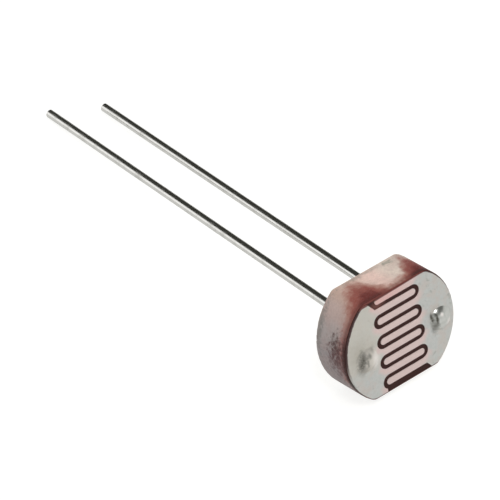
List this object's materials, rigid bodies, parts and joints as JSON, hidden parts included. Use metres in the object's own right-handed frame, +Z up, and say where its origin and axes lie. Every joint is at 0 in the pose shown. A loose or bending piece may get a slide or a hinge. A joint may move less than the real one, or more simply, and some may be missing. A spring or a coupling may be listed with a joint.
{
  "type": "photoresistor",
  "caption": "Bare photoresistor: flat-sided ceramic disc with interlocking comb electrodes over a light-sensitive film, cement dots and formed wire leads.",
  "frame": {"origin": "middle of the bounding box seen from above, on the surface the part lies on", "axes": "+Z up, +Y along the leads away from the disc's face, +X towards the right electrode as seen from the front"},
  "size_m": [0.0074, 0.0312, 0.0064],
  "materials": {
    "ceramic": "matte",
    "film": "satin",
    "electrode": "satin",
    "cement": "gloss",
    "tinned_wire": "gloss"
  },
  "bodies": {
    "root": {"ceramic_base": "ceramic", "photoconductive_film": "film", "left_electrode": "electrode", "right_electrode": "electrode", "left_lead": "tinned_wire", "right_lead": "tinned_wire", "left_contact_dot": "cement", "right_contact_dot": "cement"}
  },
  "joints": []
}
